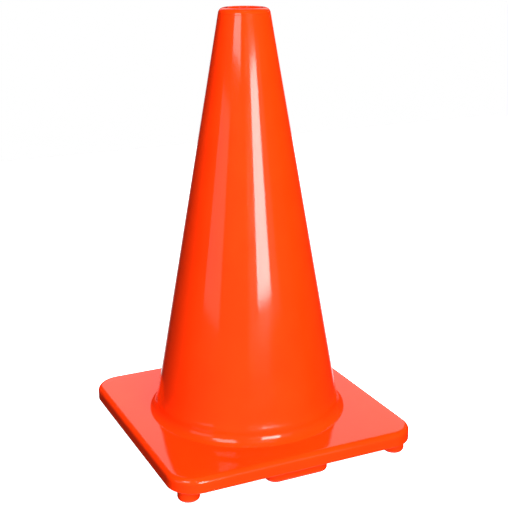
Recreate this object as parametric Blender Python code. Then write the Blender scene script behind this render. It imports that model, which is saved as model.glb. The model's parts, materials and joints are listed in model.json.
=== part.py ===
"""An 18 inch traffic cone in glossy orange PVC, on a square weighted base with eight feet.

Units are metres, +Z is up, and the origin is on the floor, under the middle of the tip.
The cone body's foot has a groove that snaps over the edge of the hole in the base cover.
The ballast slab fills the cover from below and holds the groove's lower flange in place.
The feet plug into the slab from underneath.
"""

import math

import bmesh
import bpy
from mathutils import Matrix

MM = 0.001
GAP = 0.3 * MM  # between pieces that touch on the real cone

# Overall size: 18 in tall, on a base of 10 3/4 in
HEIGHT = 457.2 * MM
BASE_SIDE = 273.0 * MM
BASE_CORNER_R = 29.0 * MM
BASE_EDGE_R = 6.0 * MM
BASE_TOP_Z = 28.8 * MM
SKIRT_BOTTOM_Z = 13.5 * MM

# Cone body: a tapered shell whose tip is open and turned inwards
FOOT_R = 101.0 * MM  # outer radius where the wall's line meets the top of the base
TIP_R = 25.4 * MM  # outer radius of the wall's line at the full height
WALL = 2.5 * MM
TIP_EDGE_R = 6.5 * MM
TIP_HOLE_R = 16.0 * MM
FOOT_START_Z = 54.5 * MM  # where the wall starts to flare out to the rim
FOOT_BENDS = (  # radius, and the lean where it ends: 0 is an upright face, and 90 a flat one
    (70.0 * MM, 16.0), (28.0 * MM, 4.0), (13.5 * MM, 58.0), (4.0 * MM, 80.0),
)
RIM_LIP_LENGTH = 1.2 * MM
RIM_EDGE_R = 0.3 * MM

# Snap groove round the cone's foot
GROOVE_R = 101.5 * MM
LOCK_FLANGE_R = 106.5 * MM
LOCK_FLANGE_THICKNESS = 2.5 * MM

# Low ribs inside the cone, which stop stacked cones from sticking together
RIB_COUNT = 6
RIB_WIDTH = 4.0 * MM
RIB_HEIGHT = 1.4 * MM
RIB_LOW_Z = 40.0 * MM
RIB_HIGH_Z = 150.0 * MM

# Base cover: a skin with a turned-down skirt and a small retaining lip at its lower edge
COVER_WALL = 2.5 * MM
LIP_INWARD = 1.2 * MM
LIP_HEIGHT = 1.5 * MM
SEAT_MARGIN = 1.0 * MM  # how far the low seat reaches past the cone's rim
SEAT_HEIGHT = 0.4 * MM

# Ballast slab
BALLAST_HOLE_R = 103.0 * MM

# Feet, and the pegs that hold them in the slab
CORNER_FOOT_AT = 117.0 * MM
CORNER_FOOT_R = 11.3 * MM
SIDE_FOOT_AT = 117.7 * MM
SIDE_FOOT_LENGTH = 69.4 * MM
SIDE_FOOT_WIDTH = 23.4 * MM
SIDE_FOOT_END_R = 11.5 * MM
FOOT_EDGE_R = 4.2 * MM
PEG_R = 5.0 * MM
PEG_LENGTH = 5.7 * MM
PEG_SPACING = 40.0 * MM

# Fineness of the round shapes
CONE_SEGMENTS = 72
FOOT_SEGMENTS = 24
PEG_SEGMENTS = 12
CORNER_STEPS = 7
EDGE_STEPS = 4
BEND_STEPS = 3
SHARP_ANGLE = math.radians(30)
SAME_PLACE = 0.001 * MM  # points closer than this are one point

# Sizes that follow from those above
HALF_ANGLE = math.atan((FOOT_R - TIP_R) / (HEIGHT - BASE_TOP_Z))
BASE_HALF = BASE_SIDE / 2
SEAT_TOP_Z = BASE_TOP_Z + SEAT_HEIGHT
RIM_BOTTOM_Z = SEAT_TOP_Z + GAP
COVER_INNER_Z = BASE_TOP_Z - COVER_WALL
COVER_INNER_HALF = BASE_HALF - COVER_WALL
COVER_INNER_CORNER_R = BASE_CORNER_R - COVER_WALL
LOCK_TOP_Z = COVER_INNER_Z - GAP
LOCK_BOTTOM_Z = LOCK_TOP_Z - LOCK_FLANGE_THICKNESS
BALLAST_TOP_Z = COVER_INNER_Z - GAP
BALLAST_BOTTOM_Z = SKIRT_BOTTOM_Z + LIP_HEIGHT + GAP
FOOT_TOP_Z = BALLAST_BOTTOM_Z - GAP
PEG_TOP_Z = FOOT_TOP_Z + PEG_LENGTH
CUT_MARGIN = 5.0 * MM  # how far a cutter runs past the face that it cuts

ORANGE = (1.0, 0.085, 0.008, 1.0)
CHARCOAL = (0.022, 0.021, 0.020, 1.0)


def clear_scene():
    for old in list(bpy.data.objects):
        bpy.data.objects.remove(old)


def make_material(name, colour, roughness):
    material = bpy.data.materials.new(name)
    material.use_nodes = True
    shader = material.node_tree.nodes["Principled BSDF"]
    shader.inputs["Base Color"].default_value = colour
    shader.inputs["Roughness"].default_value = roughness
    shader.inputs["Metallic"].default_value = 0.0
    return material


def add_object(name, bm, material=None):
    """Turn a bmesh into an object that is shaded smooth, except across its sharp edges."""
    bmesh.ops.recalc_face_normals(bm, faces=bm.faces)
    mesh = bpy.data.meshes.new(name)
    bm.to_mesh(mesh)
    bm.free()
    mesh.shade_smooth()
    mesh.set_sharp_from_angle(angle=SHARP_ANGLE)
    part = bpy.data.objects.new(name, mesh)
    bpy.context.scene.collection.objects.link(part)
    if material:
        mesh.materials.append(material)
    return part


def boolean(part, tool, operation):
    """Cut or join a hidden tool object into a part."""
    tool.hide_render = True
    tool.display_type = "WIRE"
    modifier = part.modifiers.new(tool.name, "BOOLEAN")
    modifier.operation = operation
    modifier.solver = "EXACT"
    modifier.object = tool


def arc(centre, radius, start, end, steps):
    """Points (r, z) along an arc, between two angles in degrees."""
    points = []
    for step in range(steps + 1):
        angle = math.radians(start + (end - start) * step / steps)
        points.append((centre[0] + radius * math.cos(angle), centre[1] + radius * math.sin(angle)))
    return points


def lathe(profile, segments):
    """Turn an outline of (r, z) points round the Z axis. An outline off the axis is closed into a ring."""
    bm = bmesh.new()
    verts = [bm.verts.new((r, 0, z)) for r, z in profile]
    edges = [bm.edges.new(pair) for pair in zip(verts, verts[1:])]
    if profile[0][0] > 0:
        edges.append(bm.edges.new((verts[-1], verts[0])))
    bmesh.ops.spin(
        bm, geom=verts + edges, cent=(0, 0, 0), axis=(0, 0, 1), angle=math.tau,
        steps=segments, use_merge=True,
    )
    bmesh.ops.remove_doubles(bm, verts=bm.verts, dist=SAME_PLACE)
    return bm


def level_edges(bm, z):
    """The edges that lie flat at height z."""
    return [e for e in bm.edges if all(abs(v.co.z - z) < SAME_PLACE for v in e.verts)]


def rounded_block(half_x, half_y, corner_r, low_z, high_z):
    """An upright block whose four vertical edges are rounded."""
    bm = bmesh.new()
    size = Matrix.Diagonal((2 * half_x, 2 * half_y, high_z - low_z, 1))
    lift = Matrix.Translation((0, 0, (low_z + high_z) / 2))
    bmesh.ops.create_cube(bm, size=1, matrix=lift @ size)
    upright = [e for e in bm.edges if abs(e.verts[0].co.z - e.verts[1].co.z) > SAME_PLACE]
    bmesh.ops.bevel(bm, geom=upright, offset=corner_r, segments=CORNER_STEPS, affect="EDGES", profile=0.5)
    return bm


def round_level(bm, z, radius):
    """Round the outline of a block's flat face at height z."""
    bmesh.ops.bevel(
        bm, geom=level_edges(bm, z), offset=radius, segments=EDGE_STEPS, affect="EDGES", profile=0.5
    )


def cylinders(places, radius, low_z, high_z, segments):
    """Upright cylinders at a list of (x, y) places, in one bmesh."""
    bm = bmesh.new()
    for x, y in places:
        middle = Matrix.Translation((x, y, (low_z + high_z) / 2))
        bmesh.ops.create_cone(
            bm, cap_ends=True, segments=segments, radius1=radius, radius2=radius,
            depth=high_z - low_z, matrix=middle,
        )
    return bm


def wall_radius(z):
    """Outer radius of the cone's straight wall at height z."""
    return FOOT_R - (z - BASE_TOP_Z) * math.tan(HALF_ANGLE)


def inner_radius(z):
    return wall_radius(z) - WALL / math.cos(HALF_ANGLE)


def bend(point, radius, lean, to_lean):
    """Points (r, z) that follow a point down the outside, along an arc on which the face's lean changes."""
    side = math.copysign(radius, to_lean - lean)
    centre = (
        point[0] + side * math.cos(math.radians(lean)),
        point[1] + side * math.sin(math.radians(lean)),
    )
    return arc(centre, -side, lean, to_lean, BEND_STEPS)[1:]


def foot_profile():
    """The outside of the cone's foot, from the wall down to the edge of the rim."""
    points = [(wall_radius(FOOT_START_Z), FOOT_START_Z)]
    lean = math.degrees(HALF_ANGLE)
    for radius, to_lean in FOOT_BENDS:
        points += bend(points[-1], radius, lean, to_lean)
        lean = to_lean
    points.append((
        points[-1][0] + RIM_LIP_LENGTH * math.sin(math.radians(lean)),
        points[-1][1] - RIM_LIP_LENGTH * math.cos(math.radians(lean)),
    ))
    return points + bend(points[-1], RIM_EDGE_R, lean, 0)


def rim_radius():
    return foot_profile()[-1][0]


def cone_profile():
    """The shell's section, down the outside from the tip's hole and up the inside."""
    slant = math.degrees(HALF_ANGLE)
    tip_z = HEIGHT - TIP_EDGE_R
    tip_centre = (wall_radius(tip_z) - TIP_EDGE_R / math.cos(HALF_ANGLE), tip_z)
    profile = [(TIP_HOLE_R, HEIGHT)]
    profile += arc(tip_centre, TIP_EDGE_R, 90, slant, EDGE_STEPS)
    profile += foot_profile()
    profile += [(rim_radius(), RIM_BOTTOM_Z), (GROOVE_R, RIM_BOTTOM_Z)]
    profile += [(GROOVE_R, LOCK_TOP_Z), (LOCK_FLANGE_R, LOCK_TOP_Z), (LOCK_FLANGE_R, LOCK_BOTTOM_Z)]
    profile += [(inner_radius(LOCK_BOTTOM_Z), LOCK_BOTTOM_Z)]
    profile += arc(tip_centre, TIP_EDGE_R - WALL, slant, 90, EDGE_STEPS)
    profile += [(TIP_HOLE_R, HEIGHT - WALL)]
    return profile


def stacking_ribs():
    """Long low wedges on the inside of the wall, each sunk halfway into it."""
    bm = bmesh.new()
    for rib in range(RIB_COUNT):
        turn = Matrix.Rotation(math.tau * (rib + 0.5) / RIB_COUNT, 4, "Z")
        start = len(bm.verts)
        for z in (RIB_LOW_Z, RIB_HIGH_Z):
            inside = inner_radius(z) - RIB_HEIGHT
            outside = inner_radius(z) + WALL / 2
            for x, y in ((inside, -1), (outside, -1), (outside, 1), (inside, 1)):
                bm.verts.new(turn @ Matrix.Translation((x, y * RIB_WIDTH / 2, z)).to_translation())
        bm.verts.ensure_lookup_table()
        corners = bm.verts[start:]
        for face in ((0, 1, 2, 3), (4, 5, 6, 7), (0, 1, 5, 4), (1, 2, 6, 5), (2, 3, 7, 6), (3, 0, 4, 7)):
            bm.faces.new([corners[i] for i in face])
    return bm


def add_cone_body(material):
    body = add_object("cone_body", lathe(cone_profile(), CONE_SEGMENTS), material)
    boolean(body, add_object("tool_stacking_ribs", stacking_ribs()), "UNION")


def add_base_cover(material):
    skin = rounded_block(BASE_HALF, BASE_HALF, BASE_CORNER_R, SKIRT_BOTTOM_Z, BASE_TOP_Z)
    round_level(skin, BASE_TOP_Z, BASE_EDGE_R)
    cover = add_object("base_cover", skin, material)

    seat_r = rim_radius() + SEAT_MARGIN
    seat = cylinders([(0, 0)], seat_r, BASE_TOP_Z - COVER_WALL / 2, SEAT_TOP_Z, CONE_SEGMENTS)
    boolean(cover, add_object("tool_rim_seat", seat), "UNION")

    lip_top_z = SKIRT_BOTTOM_Z + LIP_HEIGHT
    cavity = rounded_block(
        COVER_INNER_HALF, COVER_INNER_HALF, COVER_INNER_CORNER_R, lip_top_z, COVER_INNER_Z
    )
    round_level(cavity, COVER_INNER_Z, BASE_EDGE_R - COVER_WALL)
    boolean(cover, add_object("tool_cover_cavity", cavity), "DIFFERENCE")

    mouth = rounded_block(
        COVER_INNER_HALF - LIP_INWARD, COVER_INNER_HALF - LIP_INWARD, COVER_INNER_CORNER_R - LIP_INWARD,
        SKIRT_BOTTOM_Z - CUT_MARGIN, lip_top_z + CUT_MARGIN,
    )
    boolean(cover, add_object("tool_cover_mouth", mouth), "DIFFERENCE")

    hole = cylinders(
        [(0, 0)], GROOVE_R + GAP, COVER_INNER_Z - CUT_MARGIN, BASE_TOP_Z + CUT_MARGIN, CONE_SEGMENTS
    )
    boolean(cover, add_object("tool_cover_hole", hole), "DIFFERENCE")


def four_sides():
    """Name, direction and turn of each side of the base, for a piece modelled on the front side."""
    return (("front", 0, -1, 0), ("right", 1, 0, 90), ("back", 0, 1, 180), ("left", -1, 0, 270))


def four_corners():
    return (("front_left", -1, -1), ("front_right", 1, -1), ("back_right", 1, 1), ("back_left", -1, 1))


def peg_places():
    """Where the pegs enter the slab: one for each corner foot, and two for each side foot."""
    places = [(x * CORNER_FOOT_AT, y * CORNER_FOOT_AT) for _, x, y in four_corners()]
    for _, x, y, _ in four_sides():
        for along in (-PEG_SPACING / 2, PEG_SPACING / 2):
            places.append((x * SIDE_FOOT_AT + abs(y) * along, y * SIDE_FOOT_AT + abs(x) * along))
    return places


def add_base_ballast(material):
    half = COVER_INNER_HALF - GAP
    slab = rounded_block(half, half, COVER_INNER_CORNER_R - GAP, BALLAST_BOTTOM_Z, BALLAST_TOP_Z)
    round_level(slab, BALLAST_TOP_Z, BASE_EDGE_R - COVER_WALL)
    ballast = add_object("base_ballast", slab, material)

    bore_low_z = BALLAST_BOTTOM_Z - CUT_MARGIN
    bore = cylinders([(0, 0)], BALLAST_HOLE_R, bore_low_z, BALLAST_TOP_Z + CUT_MARGIN, CONE_SEGMENTS)
    boolean(ballast, add_object("tool_ballast_bore", bore), "DIFFERENCE")

    seat_r = LOCK_FLANGE_R + GAP
    seat = cylinders([(0, 0)], seat_r, LOCK_BOTTOM_Z - GAP, BALLAST_TOP_Z + CUT_MARGIN, CONE_SEGMENTS)
    boolean(ballast, add_object("tool_flange_seat", seat), "DIFFERENCE")

    sockets = cylinders(peg_places(), PEG_R + GAP, bore_low_z, PEG_TOP_Z + GAP, PEG_SEGMENTS)
    boolean(ballast, add_object("tool_peg_sockets", sockets), "DIFFERENCE")


def corner_foot_profile():
    """A round foot with a peg on top, from the middle of its sole to the top of the peg."""
    profile = [(0, 0)]
    profile += arc((CORNER_FOOT_R - FOOT_EDGE_R, FOOT_EDGE_R), FOOT_EDGE_R, 270, 360, EDGE_STEPS)
    profile += [(CORNER_FOOT_R, FOOT_TOP_Z), (PEG_R, FOOT_TOP_Z), (PEG_R, PEG_TOP_Z), (0, PEG_TOP_Z)]
    return profile


def add_corner_feet(material):
    for name, x, y in four_corners():
        foot = add_object("corner_foot_" + name, lathe(corner_foot_profile(), FOOT_SEGMENTS), material)
        foot.location = (x * CORNER_FOOT_AT, y * CORNER_FOOT_AT, 0)


def add_side_feet(material):
    for name, x, y, turn in four_sides():
        bar = rounded_block(SIDE_FOOT_LENGTH / 2, SIDE_FOOT_WIDTH / 2, SIDE_FOOT_END_R, 0, FOOT_TOP_Z)
        round_level(bar, 0, FOOT_EDGE_R)
        foot = add_object("side_foot_" + name, bar, material)
        pegs = cylinders(
            [(-PEG_SPACING / 2, 0), (PEG_SPACING / 2, 0)], PEG_R, FOOT_TOP_Z - PEG_LENGTH / 2, PEG_TOP_Z,
            PEG_SEGMENTS,
        )
        tool = add_object("tool_pegs_" + name, pegs)
        boolean(foot, tool, "UNION")
        for piece in (foot, tool):
            piece.location = (x * SIDE_FOOT_AT, y * SIDE_FOOT_AT, 0)
            piece.rotation_euler.z = math.radians(turn)


def main():
    clear_scene()
    orange = make_material("orange_pvc", ORANGE, 0.18)
    dark = make_material("recycled_pvc", CHARCOAL, 0.75)
    add_cone_body(orange)
    add_base_cover(orange)
    add_base_ballast(dark)
    add_corner_feet(orange)
    add_side_feet(orange)


main()
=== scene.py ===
"""Looks of the 18 inch traffic cone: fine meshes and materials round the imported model, and a small studio.

Units are metres, +Z is up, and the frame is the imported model's own. Each shown piece is a mesh that is
lofted from rings of points, and stands for the CAD node that it is sized from.
"""

import json
import math

import bmesh
import bpy
from mathutils import Matrix, Quaternion, Vector, noise


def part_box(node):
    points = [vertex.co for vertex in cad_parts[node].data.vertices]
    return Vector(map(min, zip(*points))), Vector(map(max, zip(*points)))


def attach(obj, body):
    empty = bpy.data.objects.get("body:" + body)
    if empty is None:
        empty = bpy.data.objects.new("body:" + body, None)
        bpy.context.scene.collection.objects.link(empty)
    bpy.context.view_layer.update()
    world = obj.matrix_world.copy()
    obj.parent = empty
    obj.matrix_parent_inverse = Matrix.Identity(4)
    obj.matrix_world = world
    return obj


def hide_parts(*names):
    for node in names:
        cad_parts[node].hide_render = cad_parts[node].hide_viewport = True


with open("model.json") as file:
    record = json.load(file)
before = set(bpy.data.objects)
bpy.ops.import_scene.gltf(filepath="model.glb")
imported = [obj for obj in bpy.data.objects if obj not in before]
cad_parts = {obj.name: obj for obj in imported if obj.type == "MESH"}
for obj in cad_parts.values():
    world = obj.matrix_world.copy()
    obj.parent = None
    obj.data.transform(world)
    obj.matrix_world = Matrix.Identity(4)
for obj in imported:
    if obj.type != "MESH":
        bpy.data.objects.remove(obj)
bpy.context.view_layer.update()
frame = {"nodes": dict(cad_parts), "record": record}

MM = 0.001

# Cone shell: its section, as in the CAD model
WALL = 2.5 * MM
FOOT_R = 101.0 * MM
TIP_R = 25.4 * MM
TIP_EDGE_R = 6.5 * MM
TIP_HOLE_R = 16.0 * MM
FOOT_START_Z = 53.7 * MM
FOOT_BENDS = (  # radius, and the lean where it ends: 0 is an upright face, and 90 a flat one
    (70.0 * MM, 16.6),
    (28.0 * MM, 4.0),
    (13.5 * MM, 58.0),
    (4.0 * MM, 80.0),
)
RIM_LIP_LENGTH = 1.2 * MM
RIM_EDGE_R = 0.3 * MM
GROOVE_R = 101.5 * MM
LOCK_FLANGE_R = 106.5 * MM
LOCK_FLANGE_THICKNESS = 2.5 * MM
RIB_COUNT = 6
RIB_HEIGHT = 1.4 * MM
RIB_LOW_Z = 40.0 * MM
RIB_HIGH_Z = 150.0 * MM

# Cone shell: finer shapes than the CAD model has
RIB_TURN = math.radians(1.3)  # half the width of a rib, seen from the cone's axis
RIB_EDGE_TURN = math.radians(0.5)
RIB_RUNOUT = 6.0 * MM
CREASE_BELOW_TOP = 5.7 * MM  # fine groove where the mould's tip insert ends
CREASE_DEPTH = 0.15 * MM
CREASE_HALF = 0.5 * MM
WAVE_DEPTH = 0.05 * MM  # how far the moulded walls wander from their true line
WAVES_PER_METRE = 17.0
WAVE_FADE = 20.0 * MM  # where the waves die away, at both ends of the wall
CONTACT = 0.02 * MM  # gap left between the rim and the base

# Base skin
BASE_CORNER_R = 29.0 * MM
BASE_EDGE_R = 6.0 * MM
SKIN_WALL = 2.5 * MM
LIP_INWARD = 1.2 * MM
LIP_HEIGHT = 1.5 * MM
LOWER_EDGE_R = 0.8 * MM
SMALL_EDGE_R = 0.3 * MM

# Ballast slab
BALLAST_HOLE_R = 103.0 * MM
BALLAST_EDGE_R = 3.5 * MM
CAST_DEPTH = 0.25 * MM  # unevenness of the cast faces
CAST_LUMPS_PER_METRE = 90.0
SOLE_RINGS = 8  # rings of points across the slab's lower face

# Feet and pegs
FOOT_EDGE_R = 4.2 * MM
SIDE_FOOT_END_R = 11.5 * MM
PEG_R = 5.0 * MM
PEG_LENGTH = 5.7 * MM
PEG_SPACING = 40.0 * MM
PEG_CHAMFER = 0.6 * MM
SOCKET_GAP = 0.3 * MM
SOCKET_OVERRUN = 1.0 * MM
SOLE_INSET = 0.6  # how far in the sole's flat cap starts, as a share of a foot's round end

# Fineness
CONE_STEPS = 240
WALL_STEPS = 46
SQUARE_CORNER_STEPS = 20
SQUARE_SIDE_STEPS = 40
FOOT_STEPS = 64
FOOT_SIDE_STEPS = 12
PEG_STEPS = 32
ARC_STEPS = 10
SMALL_ARC_STEPS = 3
SKIRT_STEPS = 6
RIB_EDGE_STEPS = 4
SHARP_ANGLE = math.radians(35)

# Camera
CAMERA_AZIMUTH = -24.66
CAMERA_ELEVATION = 26.55
CAMERA_DISTANCE = 1.1987
CAMERA_ROLL = -0.27
AIM_HEIGHT = 0.2014
AIM_RIGHT = 0.0085
LENS = 75.03

# Studio: azimuths count from the camera's, to its right
SOFTBOX_DISTANCE = 1.5
SOFTBOXES = (  # name, azimuth, low and high edge, width, radiance
    ("main_softbox", 28.0, 0.17, 0.735, 0.56, 13.0),
    ("left_softbox", -28, 0.74, 1.80, 0.74, 5.2),
    ("left_panel", -54, 0.08, 0.60, 0.74, 0.85),
    ("right_panel", 40, 0.10, 0.75, 0.66, 0.42),
)
FILL_SIZE = 0.9
FILL_DISTANCE = 1.8
FILL_AIM_Z = 0.2
FILLS = (  # name, azimuth, elevation, brightness
    ("key_fill", 20, 38, 1.25),
    ("front_fill", 18, 8, 1.2),
    ("top_fill", 0, 88, 0.42),
    ("left_fill", -36, 34, 0.25),
    ("back_right_fill", 140, 25, 0.55),
    ("back_left_fill", -150, 25, 0.45),
)
FLOOR_HALF = 1.5
FLOOR_GLOW = 1.05
ROOM_RADIANCE = 0.015
FRONT_RADIANCE = 0.12
BACKDROP_RADIANCE = 1.0
BACKDROP_SIDE = (0.42, 0.27)  # sine of the angle to the side, where the backdrop starts and is full
BACKDROP_START = 0.2  # cosine of the angle to straight behind, where the backdrop is full
BACKDROP_STOPS = (  # elevation and grey
    (-90, 0.0), (-40, 0.0), (-30, 1.0), (-4, 1.0), (0, 0.0),
    (10, 0.0), (16, 1.0), (36, 1.0), (48, 0.0), (90, 0.0),
)
FLOOR_STOPS = ((-90, 0.8), (-62, 0.8), (-45, 0.0), (90, 0.0))  # the pale floor close to the cone


def arc(centre, radius, start, end, steps=ARC_STEPS):
    """Points (r, z) along an arc, between two angles in degrees."""
    points = []
    for step in range(steps + 1):
        angle = math.radians(start + (end - start) * step / steps)
        points.append((centre[0] + radius * math.cos(angle), centre[1] + radius * math.sin(angle)))
    return points


def between(start, end, steps):
    """Points strictly between two points, evenly spaced."""
    return [
        tuple(a + (b - a) * step / steps for a, b in zip(start, end)) for step in range(1, steps)
    ]


def bend(point, radius, lean, to_lean, steps=ARC_STEPS):
    """Points (r, z) that follow a point down the outside, along an arc on which the face's lean changes.

    Lean is in degrees: 0 is an upright face, and 90 a flat one that faces up.
    """
    side = math.copysign(radius, to_lean - lean)
    middle = (
        point[0] + side * math.cos(math.radians(lean)),
        point[1] + side * math.sin(math.radians(lean)),
    )
    return arc(middle, -side, lean, to_lean, steps)[1:]


def smooth_step(low, high, value):
    t = min(max((value - low) / (high - low), 0.0), 1.0)
    return t * t * (3 - 2 * t)


def loft(rings, closed=False, caps=False):
    """A bmesh with faces between neighbouring rings. Closed joins the last ring to the first one."""
    bm = bmesh.new()
    rows = [[bm.verts.new(point) for point in ring] for ring in rings]
    pairs = list(zip(rows, rows[1:]))
    if closed:
        pairs.append((rows[-1], rows[0]))
    for row, following in pairs:
        for i in range(len(row)):
            j = (i + 1) % len(row)
            bm.faces.new((row[i], row[j], following[j], following[i]))
    if caps:
        bm.faces.new(rows[0])
        bm.faces.new(rows[-1])
    return bm


def mesh_from(name, bm):
    """A mesh made from a bmesh, which is freed."""
    mesh = bpy.data.meshes.new(name)
    bm.to_mesh(mesh)
    bm.free()
    return mesh


def add_object(name, data):
    thing = bpy.data.objects.new(name, data)
    bpy.context.scene.collection.objects.link(thing)
    return thing


def add_piece(name, bm, material, nodes):
    """Link a bmesh as a smooth-shaded piece that stands for its CAD nodes."""
    bmesh.ops.recalc_face_normals(bm, faces=bm.faces)
    mesh = mesh_from(name, bm)
    mesh.shade_smooth()
    mesh.set_sharp_from_angle(angle=SHARP_ANGLE)
    mesh.materials.append(material)
    piece = add_object(name, mesh)
    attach(piece, "root")
    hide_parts(*nodes)
    return piece


def circle(radius, z, steps, centre=(0.0, 0.0)):
    return [
        Vector((
            centre[0] + radius * math.cos(math.tau * i / steps),
            centre[1] + radius * math.sin(math.tau * i / steps),
            z,
        ))
        for i in range(steps)
    ]


def rounded_ring(half_x, half_y, corner_r, z, corner_steps, side_steps, centre=(0.0, 0.0)):
    """A ring of points round a rectangle with round corners."""
    corners = []
    for quarter, (sx, sy) in enumerate(((1, 1), (-1, 1), (-1, -1), (1, -1))):
        middle = (sx * (half_x - corner_r), sy * (half_y - corner_r))
        corners.append(arc(middle, corner_r, 90 * quarter, 90 * (quarter + 1), corner_steps))
    points = []
    for corner, following in zip(corners, corners[1:] + corners[:1]):
        points += corner + between(corner[-1], following[0], side_steps)
    return [Vector((centre[0] + x, centre[1] + y, z)) for x, y in points]


def circle_like(ring, radius, z):
    """A circle whose points lie in the same directions from the Z axis as another ring's."""
    points = []
    for point in ring:
        direction = Vector((point.x, point.y, 0)).normalized()
        points.append(direction * radius + Vector((0, 0, z)))
    return points


def wave(x, y, z):
    """Slow unevenness of a moulded wall, between about -1 and 1."""
    return noise.noise(Vector((x, y, z)) * WAVES_PER_METRE)


def mount_height(name):
    return next(mount["pos_m"][2] for mount in frame["record"]["mounts"] if mount["name"] == name)


# ---------------------------------------------------------------- cone shell


def cone_angles():
    """Even steps round the cone, with extra ones where a rib's edges need them."""
    angles = {math.tau * i / CONE_STEPS for i in range(CONE_STEPS)}
    for rib in range(RIB_COUNT):
        middle = math.tau * (rib + 0.5) / RIB_COUNT
        for side in (-1, 1):
            for step in range(RIB_EDGE_STEPS + 1):
                angles.add(middle + side * (RIB_TURN + RIB_EDGE_TURN * (step / RIB_EDGE_STEPS - 1)))
    return sorted(angles)


def rib_height(angle, z):
    """How far a stacking rib stands proud of the inner wall."""
    pitch = math.tau / RIB_COUNT
    off = abs((angle % pitch) - pitch / 2)
    across = 1 - smooth_step(RIB_TURN - RIB_EDGE_TURN, RIB_TURN, off)
    low = smooth_step(RIB_LOW_Z - RIB_RUNOUT, RIB_LOW_Z, z)
    high = 1 - smooth_step(RIB_HIGH_Z, RIB_HIGH_Z + RIB_RUNOUT, z)
    return RIB_HEIGHT * across * low * high


def add_cone_shell(material):
    low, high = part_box("cone_body")
    base_top = mount_height("stacking_face")
    slope = (FOOT_R - TIP_R) / (high.z - base_top)
    slant = math.atan(slope)
    thickness = WALL / math.cos(slant)

    def wall_radius(z):
        return FOOT_R - (z - base_top) * slope

    tip_z = high.z - TIP_EDGE_R
    tip_centre = (wall_radius(tip_z) - TIP_EDGE_R / math.cos(slant), tip_z)
    rim_bottom = base_top + CONTACT
    lock_top = low.z + LOCK_FLANGE_THICKNESS
    crease_z = high.z - CREASE_BELOW_TOP
    turn = math.degrees(slant)

    shoulder = arc(tip_centre, TIP_EDGE_R, 90, turn, 2 * ARC_STEPS)
    foot = [(wall_radius(FOOT_START_Z), FOOT_START_Z)]
    lean = turn
    for radius, to_lean in FOOT_BENDS:
        foot += bend(foot[-1], radius, lean, to_lean)
        lean = to_lean
    foot.append((
        foot[-1][0] + RIM_LIP_LENGTH * math.sin(math.radians(lean)),
        foot[-1][1] - RIM_LIP_LENGTH * math.cos(math.radians(lean)),
    ))
    foot += bend(foot[-1], RIM_EDGE_R, lean, 0)
    foot.append((foot[-1][0], rim_bottom))
    crease = []
    for t in (-1, -0.5, -0.2, 0, 0.2, 0.5, 1):
        z = crease_z - CREASE_HALF * t
        crease.append((wall_radius(z) - CREASE_DEPTH * (1 - abs(t)) ** 2, z))
    hole_edge = arc((TIP_HOLE_R + WALL / 2, high.z - WALL / 2), WALL / 2, 270, 90)
    outer_wall = between(crease[-1], foot[0], WALL_STEPS)
    lock = [(GROOVE_R, rim_bottom), (GROOVE_R, lock_top)]
    lock += arc((LOCK_FLANGE_R - SMALL_EDGE_R, lock_top - SMALL_EDGE_R), SMALL_EDGE_R, 90, 0, SMALL_ARC_STEPS)
    lock += arc((LOCK_FLANGE_R - SMALL_EDGE_R, low.z + SMALL_EDGE_R), SMALL_EDGE_R, 0, -90, SMALL_ARC_STEPS)
    inner_foot = (wall_radius(low.z) - thickness, low.z)
    inner_tip = arc(tip_centre, TIP_EDGE_R - WALL, turn, 90)
    inner_wall = between(inner_foot, inner_tip[0], 2 * WALL_STEPS)

    outside = hole_edge + shoulder + crease + outer_wall + foot + lock
    rings = []
    for r, z in outside + [inner_foot] + inner_wall + inner_tip:
        inside = z < high.z - TIP_EDGE_R and r < wall_radius(z) - thickness / 2
        free = smooth_step(FOOT_START_Z - WAVE_FADE, FOOT_START_Z, z)
        free *= 1 - smooth_step(crease_z - WAVE_FADE, crease_z, z)
        ring = []
        for angle in cone_angles():
            radius = r - (rib_height(angle, z) if inside else 0)
            point = Vector((radius * math.cos(angle), radius * math.sin(angle), z))
            outwards = Vector((math.cos(angle), math.sin(angle), 0))
            ring.append(point + outwards * wave(*point) * WAVE_DEPTH * free)
        rings.append(ring)
    add_piece("cone_shell", loft(rings, closed=True), material, ["cone_body"])


# ---------------------------------------------------------------- base


def square(half, inset, z):
    """A ring round the base's outline, moved inwards by an inset."""
    return rounded_ring(
        half - inset, half - inset, BASE_CORNER_R - inset, z, SQUARE_CORNER_STEPS, SQUARE_SIDE_STEPS
    )


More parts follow.
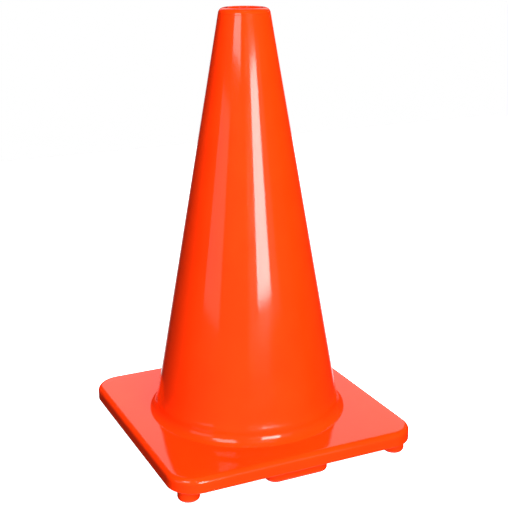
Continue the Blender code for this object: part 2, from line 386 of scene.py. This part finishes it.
def add_base_skin(material):
    low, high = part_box("base_cover")
    half = high.x
    top = mount_height("stacking_face")
    lip_inset = SKIN_WALL + LIP_INWARD
    under = top - SKIN_WALL
    inner_r = BASE_EDGE_R - SKIN_WALL

    # Each arc here gives an inset from the outline and a height, so its centre's inset counts from outside
    lip_edge = (lip_inset - SMALL_EDGE_R, low.z + SMALL_EDGE_R)
    section = arc(lip_edge, SMALL_EDGE_R, 0, -90, SMALL_ARC_STEPS)
    section += arc((LOWER_EDGE_R, low.z + LOWER_EDGE_R), LOWER_EDGE_R, 270, 180, SKIRT_STEPS)
    section += between((0, low.z + LOWER_EDGE_R), (0, top - BASE_EDGE_R), SKIRT_STEPS)
    section += arc((BASE_EDGE_R, top - BASE_EDGE_R), BASE_EDGE_R, 180, 90, 2 * ARC_STEPS)
    rings = [square(half, inset, z) for inset, z in section]

    flat = rings[-1]
    hole_r = GROOVE_R + SOCKET_GAP
    hole = circle_like(flat, hole_r, top)
    for step in (0.2, 0.4, 0.6, 0.8):
        rings.append([a.lerp(b, step) for a, b in zip(flat, hole)])
    rings += [hole, circle_like(flat, hole_r, under)]

    section = arc((BASE_EDGE_R, under - inner_r), inner_r, 90, 180)
    section += [(SKIN_WALL, low.z + LIP_HEIGHT), (lip_inset, low.z + LIP_HEIGHT)]
    rings += [square(half, inset, z) for inset, z in section]
    add_piece("base_skin", loft(rings, closed=True), material, ["base_cover"])


def foot_names():
    return [name for name in frame["nodes"] if "foot" in name]


def foot_middle(name):
    low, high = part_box(name)
    return Vector(((low.x + high.x) / 2, (low.y + high.y) / 2))


def peg_places(name):
    """Where a foot's pegs stand: one in the middle of a round foot, and two along a bar."""
    low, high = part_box(name)
    middle = foot_middle(name)
    if name.startswith("corner"):
        return [middle]
    offset = Vector((PEG_SPACING / 2, 0))
    if high.y - low.y > high.x - low.x:
        offset = Vector((0, PEG_SPACING / 2))
    return [middle + offset, middle - offset]


def add_ballast_slab(material):
    low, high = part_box("base_ballast")
    half = high.x
    corner_r = BASE_CORNER_R - SKIN_WALL - SOCKET_GAP
    lock_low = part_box("cone_body")[0].z
    flange_r = LOCK_FLANGE_R + SOCKET_GAP

    def slab(inset, z):
        return rounded_ring(
            half - inset, half - inset, corner_r - inset, z, SQUARE_CORNER_STEPS, SQUARE_SIDE_STEPS
        )

    section = [(SMALL_EDGE_R, low.z), (0, low.z + SMALL_EDGE_R)]
    section += arc((BALLAST_EDGE_R, high.z - BALLAST_EDGE_R), BALLAST_EDGE_R, 180, 90)
    rings = [slab(inset, z) for inset, z in section]
    outline = rings[0]
    step_z = lock_low - SOCKET_GAP
    hole = [(flange_r, high.z), (flange_r, step_z), (BALLAST_HOLE_R, step_z)]
    hole += [(BALLAST_HOLE_R, low.z + SMALL_EDGE_R), (BALLAST_HOLE_R + SMALL_EDGE_R, low.z)]
    rings += [circle_like(outline, r, z) for r, z in hole]
    bore = rings[-1]
    for step in range(1, SOLE_RINGS):
        ring = [a.lerp(b, step / SOLE_RINGS) for a, b in zip(bore, outline)]
        for point in ring:
            point.z += CAST_DEPTH * abs(noise.noise(point * CAST_LUMPS_PER_METRE))
        rings.append(ring)
    bm = loft(rings, closed=True)
    piece = add_piece("ballast_slab", bm, material, ["base_ballast"])

    sockets = bmesh.new()
    for place in [place for name in foot_names() for place in peg_places(name)]:
        lift = Matrix.Translation((place.x, place.y, low.z + PEG_LENGTH / 2))
        bmesh.ops.create_cone(
            sockets, cap_ends=True, segments=PEG_STEPS, radius1=PEG_R + SOCKET_GAP,
            radius2=PEG_R + SOCKET_GAP, depth=PEG_LENGTH + 2 * SOCKET_OVERRUN, matrix=lift,
        )
    tool = add_object("tool_sockets", mesh_from("tool_sockets", sockets))
    modifier = piece.modifiers.new("peg_sockets", "BOOLEAN")
    modifier.object = tool
    apply_modifiers(piece)
    bpy.data.objects.remove(tool)


def apply_modifiers(piece):
    """Replace a piece's mesh by its evaluated one."""
    depsgraph = bpy.context.evaluated_depsgraph_get()
    mesh = bpy.data.meshes.new_from_object(piece.evaluated_get(depsgraph))
    piece.modifiers.clear()
    piece.data = mesh


# ---------------------------------------------------------------- feet


def add_peg(bm, place, low_z, high_z):
    """Add a peg to a foot, sunk a little into the foot's top."""
    rings = [
        circle(PEG_R, low_z, PEG_STEPS, place),
        circle(PEG_R, high_z - PEG_CHAMFER, PEG_STEPS, place),
        circle(PEG_R - PEG_CHAMFER, high_z, PEG_STEPS, place),
    ]
    mesh = mesh_from("peg", loft(rings, caps=True))
    bm.from_mesh(mesh)
    bpy.data.meshes.remove(mesh)


def add_foot(name, material):
    """A foot with a rounded sole edge: round at the corners of the base, a bar along its sides."""
    low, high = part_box(name)
    middle = foot_middle(name)
    half_x = (high.x - low.x) / 2
    half_y = (high.y - low.y) / 2
    top = high.z - PEG_LENGTH
    end_r = min(half_x, half_y, SIDE_FOOT_END_R)
    is_bar = name.startswith("side")

    def outline(inset, z):
        if not is_bar:
            return circle(half_x - inset, z, FOOT_STEPS, middle)
        return rounded_ring(
            half_x - inset, half_y - inset, end_r - inset, z, FOOT_STEPS // 4, FOOT_SIDE_STEPS, middle
        )

    section = [(end_r * SOLE_INSET, low.z)]
    section += arc((FOOT_EDGE_R, low.z + FOOT_EDGE_R), FOOT_EDGE_R, 270, 180, 2 * ARC_STEPS)
    section += [(0, top - SMALL_EDGE_R), (SMALL_EDGE_R, top)]
    bm = loft([outline(inset, z) for inset, z in section], caps=True)
    for place in peg_places(name):
        add_peg(bm, place, top - PEG_CHAMFER, high.z)
    add_piece(name + "_pad", bm, material, [name])


# ---------------------------------------------------------------- materials


def new_material(name):
    material = bpy.data.materials.new(name)
    material.use_nodes = True
    tree = material.node_tree
    return material, tree, tree.nodes["Principled BSDF"]


def noise_node(tree, scale, detail, roughness=0.5, stretch=(1, 1, 1)):
    """Noise in the object's own metres, with a scale in waves per metre."""
    place = tree.nodes.new("ShaderNodeTexCoord")
    mapping = tree.nodes.new("ShaderNodeMapping")
    mapping.inputs["Scale"].default_value = stretch
    texture = tree.nodes.new("ShaderNodeTexNoise")
    texture.inputs["Scale"].default_value = scale
    texture.inputs["Detail"].default_value = detail
    texture.inputs["Roughness"].default_value = roughness
    tree.links.new(place.outputs["Object"], mapping.inputs["Vector"])
    tree.links.new(mapping.outputs["Vector"], texture.inputs["Vector"])
    return texture.outputs["Fac"]


def ramp(tree, factor, stops):
    """Colours at factors; a stop is (position, colour)."""
    node = tree.nodes.new("ShaderNodeValToRGB")
    elements = node.color_ramp.elements
    for element, (position, colour) in zip(elements, (stops[0], stops[-1])):
        element.position = position
        element.color = (*colour, 1)
    for position, colour in stops[1:-1]:
        elements.new(position).color = (*colour, 1)
    tree.links.new(factor, node.inputs["Fac"])
    return node.outputs["Color"]


def spread(tree, factor, low, high, to_low, to_high):
    """Map a factor's range to another one."""
    node = tree.nodes.new("ShaderNodeMapRange")
    for name, value in zip(("From Min", "From Max", "To Min", "To Max"), (low, high, to_low, to_high)):
        node.inputs[name].default_value = value
    tree.links.new(factor, node.inputs["Value"])
    return node.outputs["Result"]


def add_values(tree, first, second):
    node = tree.nodes.new("ShaderNodeMath")
    node.operation = "ADD"
    tree.links.new(first, node.inputs[0])
    tree.links.new(second, node.inputs[1])
    return node.outputs["Value"]


def bump(tree, height, distance, normal=None):
    """A bump whose height of 1 is a distance in metres."""
    node = tree.nodes.new("ShaderNodeBump")
    node.inputs["Strength"].default_value = 1.0
    node.inputs["Distance"].default_value = distance
    tree.links.new(height, node.inputs["Height"])
    if normal:
        tree.links.new(normal, node.inputs["Normal"])
    return node.outputs["Normal"]


def orange_pvc():
    """Glossy moulded PVC: slight clouding, orange peel and a few faint hairline scuffs."""
    material, tree, shader = new_material("orange_pvc_gloss")
    clouds = noise_node(tree, 22, 3)
    deep = (0.95, 0.031, 0.0011)
    light = (0.98, 0.035, 0.0014)
    tree.links.new(ramp(tree, clouds, ((0.3, deep), (0.7, light))), shader.inputs["Base Color"])

    gloss = spread(tree, noise_node(tree, 45, 4), 0.3, 0.7, 0.075, 0.105)
    scuffs = spread(tree, noise_node(tree, 60, 6, 0.75, (1.0, 1.0, 14.0)), 0.66, 0.72, 0.0, 0.09)
    tree.links.new(add_values(tree, gloss, scuffs), shader.inputs["Roughness"])

    peel = bump(tree, noise_node(tree, 260, 2), 0.012 * MM)
    tree.links.new(bump(tree, scuffs, 0.02 * MM, peel), shader.inputs["Normal"])
    shader.inputs["IOR"].default_value = 1.5
    return material


def recycled_pvc():
    """Rough cast mixture of ground-up PVC: charcoal with flecks of other scrap."""
    material, tree, shader = new_material("recycled_pvc_cast")
    grit = noise_node(tree, 420, 5, 0.65)
    flecks = ramp(tree, grit, (
        (0.30, (0.006, 0.006, 0.006)), (0.50, (0.022, 0.021, 0.020)),
        (0.64, (0.050, 0.046, 0.042)), (0.72, (0.20, 0.045, 0.015)),
    ))
    tree.links.new(flecks, shader.inputs["Base Color"])
    rough = spread(tree, noise_node(tree, 150, 4), 0.3, 0.7, 0.62, 0.85)
    tree.links.new(rough, shader.inputs["Roughness"])
    coarse = bump(tree, noise_node(tree, 240, 5, 0.6), 0.5 * MM)
    tree.links.new(bump(tree, grit, 0.12 * MM, coarse), shader.inputs["Normal"])
    return material


def floor_paper():
    """Pale matt studio paper."""
    material, tree, shader = new_material("floor_paper")
    fibre = noise_node(tree, 900, 3)
    tone = ramp(tree, fibre, ((0.3, (0.90, 0.90, 0.90)), (0.7, (0.93, 0.93, 0.93))))
    tree.links.new(tone, shader.inputs["Base Color"])
    shader.inputs["Roughness"].default_value = 0.95
    shader.inputs["Specular IOR Level"].default_value = 0.1
    shader.inputs["Emission Color"].default_value = (1, 1, 1, 1)
    shader.inputs["Emission Strength"].default_value = FLOOR_GLOW
    return material


# ---------------------------------------------------------------- studio


def towards(azimuth, elevation):
    """Direction of something seen from the middle: azimuth 0 is -Y, and 90 is +X."""
    a, e = math.radians(azimuth), math.radians(elevation)
    return Vector((math.sin(a) * math.cos(e), -math.cos(a) * math.cos(e), math.sin(e)))


def add_camera():
    data = bpy.data.cameras.new("camera")
    data.lens = LENS
    camera = add_object("camera", data)
    camera.location = towards(CAMERA_AZIMUTH, CAMERA_ELEVATION) * CAMERA_DISTANCE
    aim = towards(CAMERA_AZIMUTH + 90, 0) * AIM_RIGHT + Vector((0, 0, AIM_HEIGHT))
    camera.rotation_mode = "QUATERNION"
    level = (aim - camera.location).to_track_quat("-Z", "Y")
    camera.rotation_quaternion = level @ Quaternion((0, 0, 1), math.radians(CAMERA_ROLL))
    bpy.context.scene.camera = camera


def add_area_light(name, azimuth, elevation, distance, aim_z, size, radiance):
    """A soft light of an even radiance, that faces a point on the cone's axis."""
    data = bpy.data.lights.new(name, "AREA")
    data.shape = "RECTANGLE"
    data.size, data.size_y = size
    data.energy = radiance * math.pi * data.size * data.size_y
    light = add_object(name, data)
    out = towards(azimuth, elevation)
    light.location = out * distance + Vector((0, 0, aim_z))
    light.rotation_mode = "QUATERNION"
    light.rotation_quaternion = (-out).to_track_quat("-Z", "Y")
    light.visible_camera = False
    return light


def add_lights():
    """Softboxes, whose reflections show, and fills, which only light the surfaces.

    A fill's brightness is the radiance of a white card that faces it from the middle of the cone.
    """
    for name, azimuth, low_z, high_z, width, radiance in SOFTBOXES:
        size = (width, high_z - low_z)
        softbox = add_area_light(
            name, CAMERA_AZIMUTH + azimuth, 0, SOFTBOX_DISTANCE, (low_z + high_z) / 2, size, radiance
        )
        softbox.visible_diffuse = False
    for name, azimuth, elevation, brightness in FILLS:
        radiance = brightness * math.pi * (FILL_DISTANCE / FILL_SIZE) ** 2
        fill = add_area_light(
            name, CAMERA_AZIMUTH + azimuth, elevation, FILL_DISTANCE, FILL_AIM_Z,
            (FILL_SIZE, FILL_SIZE), radiance,
        )
        fill.visible_glossy = False


def add_floor():
    bm = bmesh.new()
    bmesh.ops.create_grid(bm, x_segments=8, y_segments=8, size=FLOOR_HALF)
    mesh = mesh_from("floor", bm)
    mesh.materials.append(floor_paper())
    floor = add_object("floor", mesh)
    floor.visible_glossy = False
    floor.visible_diffuse = False


def mix(tree, blend, first, second):
    """Blend two colours in full. The second may be a plain grey."""
    node = tree.nodes.new("ShaderNodeMix")
    node.data_type = "RGBA"
    node.blend_type = blend
    node.inputs["Factor"].default_value = 1.0
    tree.links.new(first, node.inputs["A"])
    if isinstance(second, float):
        node.inputs["B"].default_value = (second, second, second, 1)
    else:
        tree.links.new(second, node.inputs["B"])
    return node


def elevation_ramp(tree, height, stops):
    """Greys by the elevation of the direction, in degrees."""
    placed = []
    for elevation, grey in stops:
        place = (math.sin(math.radians(elevation)) + 1) / 2
        placed.append((place, (grey, grey, grey)))
    return ramp(tree, height, placed)


def along(tree, direction, azimuth):
    """Cosine of the angle between a direction and the level one at an azimuth."""
    node = tree.nodes.new("ShaderNodeVectorMath")
    node.operation = "DOT_PRODUCT"
    node.inputs[1].default_value = towards(azimuth, 0)
    tree.links.new(direction, node.inputs[0])
    return node.outputs["Value"]


def absolute(tree, value):
    node = tree.nodes.new("ShaderNodeMath")
    node.operation = "ABSOLUTE"
    tree.links.new(value, node.inputs[0])
    return node.outputs["Value"]


def add_world():
    """What the gloss reflects: a dim room, a white backdrop behind the cone and a pale floor below it.

    The camera itself sees plain white.
    """
    world = bpy.data.worlds.new("studio")
    bpy.context.scene.world = world
    world.use_nodes = True
    tree = world.node_tree
    direction = tree.nodes.new("ShaderNodeTexCoord").outputs["Generated"]
    split = tree.nodes.new("ShaderNodeSeparateXYZ")
    tree.links.new(direction, split.inputs["Vector"])
    height = spread(tree, split.outputs["Z"], -1, 1, 0, 1)
    back = along(tree, direction, CAMERA_AZIMUTH + 180)
    behind = spread(tree, back, 0, BACKDROP_START, 0, BACKDROP_RADIANCE)
    side = absolute(tree, along(tree, direction, CAMERA_AZIMUTH + 90))
    backdrop = mix(tree, "MULTIPLY", elevation_ramp(tree, height, BACKDROP_STOPS), behind)
    backdrop = mix(tree, "MULTIPLY", backdrop.outputs["Result"], spread(tree, side, *BACKDROP_SIDE, 0, 1))
    front = spread(tree, back, 0, -1, 0, FRONT_RADIANCE)
    room = mix(tree, "ADD", backdrop.outputs["Result"], front)
    room = mix(tree, "ADD", room.outputs["Result"], elevation_ramp(tree, height, FLOOR_STOPS))
    room = mix(tree, "ADD", room.outputs["Result"], ROOM_RADIANCE)
    seen = mix(tree, "MIX", room.outputs["Result"], 1.0)
    path = tree.nodes.new("ShaderNodeLightPath")
    tree.links.new(path.outputs["Is Camera Ray"], seen.inputs["Factor"])
    tree.links.new(seen.outputs["Result"], tree.nodes["Background"].inputs["Color"])


def main():
    bpy.context.scene.view_settings.view_transform = "Standard"
    add_camera()
    gloss = orange_pvc()
    add_cone_shell(gloss)
    add_base_skin(gloss)
    add_ballast_slab(recycled_pvc())
    for name in sorted(foot_names()):
        add_foot(name, gloss)
    add_floor()
    add_world()
    add_lights()


main()
